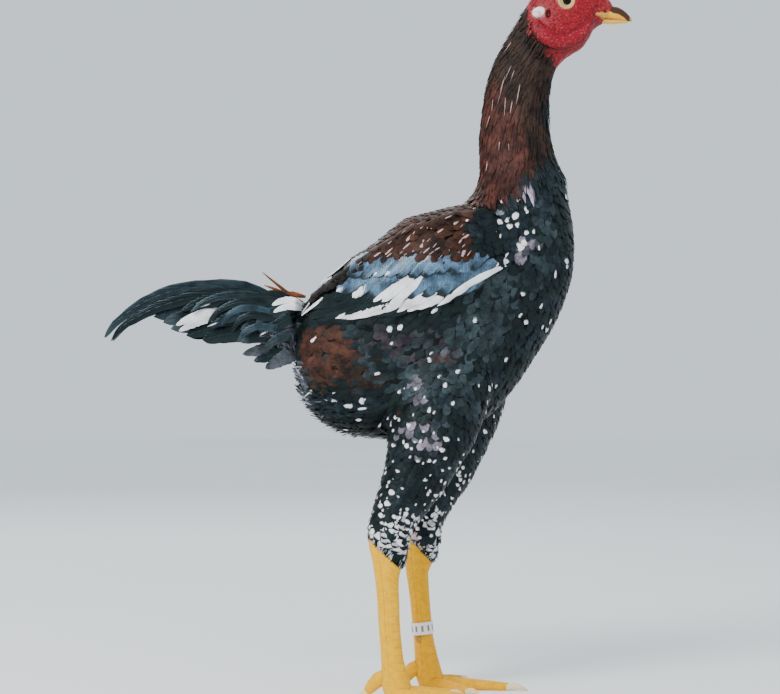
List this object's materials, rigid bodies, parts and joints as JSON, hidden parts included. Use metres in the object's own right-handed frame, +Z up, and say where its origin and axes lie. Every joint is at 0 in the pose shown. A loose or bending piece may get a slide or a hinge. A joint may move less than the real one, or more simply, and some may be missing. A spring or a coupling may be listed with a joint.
{
  "type": "malay bantam cock",
  "caption": "Still life-size model of a tall upright bantam cock with long bare shanks, folded wings, a low lumpy comb, a short drooping tail and a loose leg ring.",
  "frame": {"origin": "on the floor under the middle of the bird's bounding box", "axes": "+X the way the bird looks, +Y to its left, +Z up"},
  "size_m": [0.3694, 0.1375, 0.5047],
  "materials": {
    "plumage_dark": "black feathers with a green and blue gloss and white spots",
    "plumage_chestnut": "dark chestnut hackle feathers with a soft gloss",
    "bare_skin": "red granular bare skin",
    "lobe_skin": "white smooth skin",
    "eye": "wet glossy eye",
    "bill_horn": "smooth yellow horn, dark along the ridge",
    "leg_scale": "yellow scales",
    "claw_horn": "pale smooth horn",
    "ring_plastic": "white plastic with plain dark marks"
  },
  "bodies": {
    "root": {"head": "bare_skin", "comb": "bare_skin", "beak_upper": "bill_horn", "beak_lower": "bill_horn", "eye_right": "eye", "eye_left": "eye", "earlobe_right": "lobe_skin", "earlobe_left": "lobe_skin", "wattle_right": "bare_skin", "wattle_left": "bare_skin", "neck": "plumage_chestnut", "torso": "plumage_dark", "wing_right": "plumage_dark", "wing_left": "plumage_dark", "tail": "plumage_dark", "thigh_right": "plumage_dark", "thigh_left": "plumage_dark", "shank_right": "leg_scale", "shank_left": "leg_scale", "toe_right_inner": "leg_scale", "toe_right_middle": "leg_scale", "toe_right_outer": "leg_scale", "toe_right_hind": "leg_scale", "toe_left_inner": "leg_scale", "toe_left_middle": "leg_scale", "toe_left_outer": "leg_scale", "toe_left_hind": "leg_scale", "claw_right_inner": "claw_horn", "claw_right_middle": "claw_horn", "claw_right_outer": "claw_horn", "claw_right_hind": "claw_horn", "claw_left_inner": "claw_horn", "claw_left_middle": "claw_horn", "claw_left_outer": "claw_horn", "claw_left_hind": "claw_horn", "spur_right": "claw_horn", "spur_left": "claw_horn", "leg_ring": "ring_plastic"}
  },
  "joints": []
}
